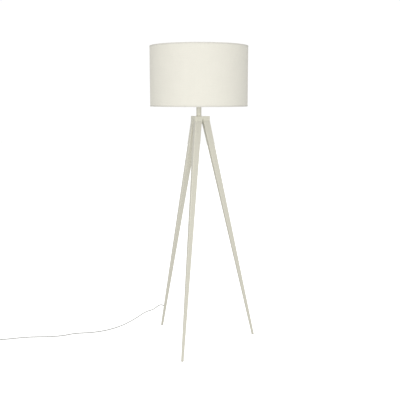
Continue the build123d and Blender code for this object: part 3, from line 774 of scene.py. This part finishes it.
def rolled_hem(name, edge_z, direction):
    """The tape round one rim; direction is 1 where it folds over the top edge."""
    outline = hem_profile()
    lengths = [0.0]
    for before, here in zip(outline, outline[1:]):
        lengths.append(lengths[-1] + sqrt((here[0] - before[0]) ** 2 + (here[1] - before[1]) ** 2))
    size = len(outline)
    verts, spots, faces = [], [], []
    for i in range(hem_columns + 1):
        turn = seam_azimuth + 0.06 + 2 * pi * i / hem_columns
        pucker = noise.noise(Vector((cos(turn) * 14, sin(turn) * 14, edge_z * 5)))
        from_seam = abs((turn - seam_azimuth - overlap / shade_radius / 2 + pi) % (2 * pi) - pi)
        swell = cloth_thickness * min(max(2 - from_seam * shade_radius / overlap, 0.0), 1.0)
        for (radius, drop), length in zip(outline, lengths):
            reach = radius + pucker * 0.00012 * (1 if radius > ring_radius else -1)
            reach += swell if radius > ring_radius else 0.0
            height = edge_z + direction * (drop + pucker * 0.0002 * (drop < -hem_depth * 0.8))
            verts.append((reach * cos(turn), reach * sin(turn), height))
            spots.append((turn * shade_radius, length))
    for i in range(hem_columns):
        for k in range(size - 1):
            a = i * size + k
            faces.append((a, a + size, a + size + 1, a + 1))
    mesh = bpy.data.meshes.new(name)
    mesh.from_pydata(verts, [], faces if direction > 0 else [f[::-1] for f in faces])
    layer = mesh.uv_layers.new(name="cloth")
    for loop in mesh.loops:
        layer.data[loop.index].uv = spots[loop.vertex_index]
    mesh.polygons.foreach_set("use_smooth", [True] * len(mesh.polygons))
    piece = bpy.data.objects.new(name, mesh)
    scene.collection.objects.link(piece)
    body = piece.modifiers.new("thickness", "SOLIDIFY")
    body.thickness = hem_thickness
    body.offset = -1.0
    return piece


top_hem = rolled_hem("top_hem_tape", hem_high.z, 1)
finish_piece(top_hem, "shade", "hem_tape", hem_tape, "shade_top_hem")
bottom_hem = rolled_hem("bottom_hem_tape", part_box("shade_bottom_hem")[0].z, -1)
finish_piece(bottom_hem, "shade", "hem_tape", hem_tape, "shade_bottom_hem")


# ---- Lead inside the lamp ------------------------------------------------------------------------
# The same round lead runs from the holder down the rod and into the left leg through a rubber bush.
lead_sheath = skinned("lead_sheath", (0.46, 0.46, 0.44), 0.42, grain=500.0, depth=0.00004,
                      tone=0.05, patches=30.0, dust=0.15)
bush_rubber = skinned("bush_rubber", (0.05, 0.05, 0.05), 0.7, grain=900.0, depth=0.00005)
plug_plastic = skinned("plug_plastic", (0.62, 0.62, 0.60), 0.36, grain=1100.0, depth=0.00003,
                       tone=0.03)
dress(lead_sheath, "inner_lead")
dress(bush_rubber, "lead_bush")

# ---- Mains lead ----------------------------------------------------------------------------------
# Round two-core lead in a soft grey sheath. It leaves the left leg through a strain relief, rises
# in a small arch, falls to the floor, runs away and ends in a wound coil with its plug.
lead_diameter = 0.0056
lead_route = [
    (-189.8, 226.4, 83.3), (-191.3, 240.8, 95.4), (-202.0, 255.2, 101.6),
    (-218.4, 264.6, 99.8), (-234.9, 265.9, 90.5), (-255.8, 261.2, 73.1),
    (-303.2, 239.2, 66.2), (-343.8, 215.8, 42.3), (-386.2, 193.9, 24.2),
    (-419.0, 177.0, 12.3), (-462.0, 153.0, 4.4), (-502.0, 124.0, 3.0),
    (-545.0, 101.0, 3.0), (-590.0, 88.0, 3.0), (-637.0, 82.0, 3.0),
    (-678.0, 72.0, 3.0), (-712.0, 50.0, 3.0), (-752.0, 36.0, 3.0),
    (-800.0, 29.0, 3.0), (-852.0, 27.5, 3.0), (-904.0, 23.5, 3.0),
    (-954.0, 11.5, 3.0), (-1002.0, -3.5, 3.0), (-1040.0, -11.2, 3.7),
]
tail_route = [(-1117.4, -60.0, 11.6), (-1113.2, -69.0, 9.0), (-1107.6, -78.0, 7.4),
              (-1105.0, -87.0, 7.2)]
coil_centre = Vector((-1.087, -0.042, 0))
coil_inner = 0.0262
coil_step = 0.0056
coil_start = radians(90)
coil_turns = 5.25
coil_lift = 0.0042              # the middle of the lowest turn
coil_pack = 0.96                # turns nest a little into the layer below
turn_points = 16
relief_length = 0.020
exit_point = Vector((-0.1954, 0.2067, 0.0620))
exit_direction = Vector((0.1888, 0.6672, 0.7206))

lead_points = [exit_point + exit_direction * relief_length]
lead_points += [Vector(p) / 1000 for p in lead_route]
for i in range(int(coil_turns * turn_points) + 1):
    turn = i / turn_points
    layer = int(turn // 2)
    inward = min(max((turn % 2) - 0.85, 0) / 0.3, 1)
    if layer % 2:
        inward = 1 - inward
    radius = coil_inner + coil_step * (1 - inward)
    climb = min(max((turn % 2) - 1.85, 0) / 0.15, 1)
    height = coil_lift + coil_step * (layer + climb) * coil_pack
    angle = coil_start + 2 * pi * turn
    lead_points.append(coil_centre + Vector((radius * cos(angle), radius * sin(angle), height)))
lead_points += [Vector(p) / 1000 for p in tail_route]

lead_curve = bpy.data.curves.new("mains_lead", "CURVE")
lead_curve.dimensions = "3D"
lead_spline = lead_curve.splines.new("NURBS")
lead_spline.points.add(len(lead_points) - 1)
for control, point in zip(lead_spline.points, lead_points):
    control.co = (*point, 1)
lead_spline.order_u = 3
lead_spline.use_endpoint_u = True
lead_spline.resolution_u = 6
lead_curve.bevel_depth = lead_diameter / 2
lead_curve.bevel_resolution = 4
lead_curve.use_fill_caps = True
mains_lead = bpy.data.objects.new("mains_lead", lead_curve)
scene.collection.objects.link(mains_lead)
finish_piece(mains_lead, "lamp", "lead_sheath", lead_sheath, "cord", "cord_tail", "cord_coil")


# ---- Strain relief -------------------------------------------------------------------------------
# Soft tapered sleeve with a collar that snaps into the leg, and ribs that let it bend evenly.
def along_axis(piece, origin, direction):
    """Move a piece turned about Z so that its axis runs from origin along direction."""
    turn = Vector(direction).to_track_quat("Z", "Y").to_matrix().to_4x4()
    piece.data.transform(Matrix.Translation(origin) @ turn)


rib_count = 5
rib_pitch = 0.0029
rib_start = 0.0040
rib_depth = 0.0006
rib_taper = 0.00024
relief_profile = [(0.0, -0.0015), (0.0045, -0.0015), (0.0045, 0.0010), (0.0055, 0.0012),
                  (0.0056, 0.0030), (0.0048, 0.0034)]
for i in range(rib_count):
    start = rib_start + rib_pitch * i
    body = 0.0046 - rib_taper * i
    relief_profile += [(body - rib_depth, start), (body, start + 0.0004), (body, start + 0.0016),
                       (body - rib_depth, start + 0.0020),
                       (body - rib_depth - 0.0001, start + 0.0028)]
relief_profile += [(0.0033, 0.0192), (0.00295, 0.0199), (0.0, 0.0199)]
relief = turned("strain_relief_sleeve", relief_profile, segments=40, looped=False)
along_axis(relief, exit_point, exit_direction)
sharpen(relief, 50)
finish_piece(relief, "lamp", "plug_plastic", plug_plastic, "strain_relief")

# ---- Coil tie ------------------------------------------------------------------------------------
# A paper-covered wire band round the coil's turns.
tie_paper = skinned("tie_paper", (0.70, 0.69, 0.64), 0.8, grain=1500.0, depth=0.00006, tone=0.1)
dress(tie_paper, "coil_tie")

# ---- Plug ----------------------------------------------------------------------------------------
# Moulded two-pin plug with a waist for the fingers, three grip ridges a side, and sleeved pins.
plug_low, plug_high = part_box("plug_body")
plug_middle = (plug_low + plug_high) / 2
plug_sections = [
    # distance from the lead's end, half width, half height, squareness
    (0.000, 0.0033, 0.0033, 2.0), (0.004, 0.0038, 0.0037, 2.0), (0.010, 0.0048, 0.0046, 2.1),
    (0.013, 0.0080, 0.0055, 2.4), (0.018, 0.0128, 0.0062, 3.0), (0.024, 0.0152, 0.0064, 3.6),
    (0.030, 0.0152, 0.0060, 3.8), (0.036, 0.0160, 0.0062, 4.2), (0.042, 0.0171, 0.0067, 4.8),
    (0.0465, 0.0174, 0.0068, 5.0), (0.0478, 0.0170, 0.0064, 5.0), (0.0480, 0.0164, 0.0058, 5.0),
]
plug_around = 56


def squared_ring(centre, half_width, half_height, power):
    """Points of a rounded rectangle across Y."""
    ring = []
    for k in range(plug_around):
        turn = 2 * pi * k / plug_around
        x = abs(cos(turn)) ** (2 / power) * half_width * (1 if cos(turn) >= 0 else -1)
        z = abs(sin(turn)) ** (2 / power) * half_height * (1 if sin(turn) >= 0 else -1)
        ring.append(centre + Vector((x, 0, z)))
    return ring


def section_at(distance):
    """Half width, half height and squareness of the plug between its sections."""
    for before, here in zip(plug_sections, plug_sections[1:]):
        if distance <= here[0]:
            share = (distance - before[0]) / (here[0] - before[0])
            share = share * share * (3 - 2 * share)
            return [a + (b - a) * share for a, b in zip(before[1:], here[1:])]
    return list(plug_sections[-1][1:])


plug_start = Vector((plug_middle.x, plug_high.y, plug_middle.z))
plug_length = plug_high.y - plug_low.y
plug_rings = []
plug_steps = 96
grip_start = 0.0225
grip_length = 0.0115
grip_depth = 0.0004
grip_ridges = 4
for j in range(plug_steps + 1):
    distance = plug_length * j / plug_steps
    half_width, half_height, power = section_at(distance)
    grip = (distance - grip_start) / grip_length
    if 0 < grip < 1:
        half_width += grip_depth * sin(pi * grip) ** 0.5 * cos(2 * pi * grip * grip_ridges)
    plug_rings.append(squared_ring(plug_start - Vector((0, distance, 0)), half_width, half_height,
                                   power))
plug = add_rings("plug_moulding", plug_rings, capped=True)
sharpen(plug, 60)
finish_piece(plug, "lamp", "plug_plastic", plug_plastic, "plug_body")

pins_low, pins_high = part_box("plug_pins")
pin_radius = (pins_high.z - pins_low.z) / 2
pin_length = pins_high.y - pins_low.y
sleeve_length = 0.0098
pins, sleeves = [], []
for side, x in (("left", pins_low.x + pin_radius), ("right", pins_high.x - pin_radius)):
    pin = turned("pin_" + side, [(0.0, -0.001), (pin_radius * 0.8, -0.001),
                                 (pin_radius * 0.8, 0.0095), (pin_radius, 0.0100),
                                 (pin_radius, pin_length - 0.0012),
                                 (pin_radius * 0.8, pin_length - 0.0003),
                                 (pin_radius * 0.4, pin_length), (0.0, pin_length)],
                 segments=32, looped=False)
    sleeve = turned("sleeve_" + side, [(pin_radius * 0.8, -0.0008), (pin_radius * 0.95, -0.0008),
                                       (pin_radius * 0.95, sleeve_length),
                                       (pin_radius * 0.8, sleeve_length)],
                    segments=32)
    for piece in (pin, sleeve):
        along_axis(piece, (x, pins_high.y, (pins_low.z + pins_high.z) / 2), (0, -1, 0))
        sharpen(piece)
    pins.append(pin)
    sleeves.append(sleeve)
plug_pins = joined("plug_pins_plated", pins)
finish_piece(plug_pins, "lamp", "nickel", nickel, "plug_pins")
pin_sleeves = joined("plug_pin_sleeves", sleeves)
finish_piece(pin_sleeves, "lamp", "plug_plastic", plug_plastic)
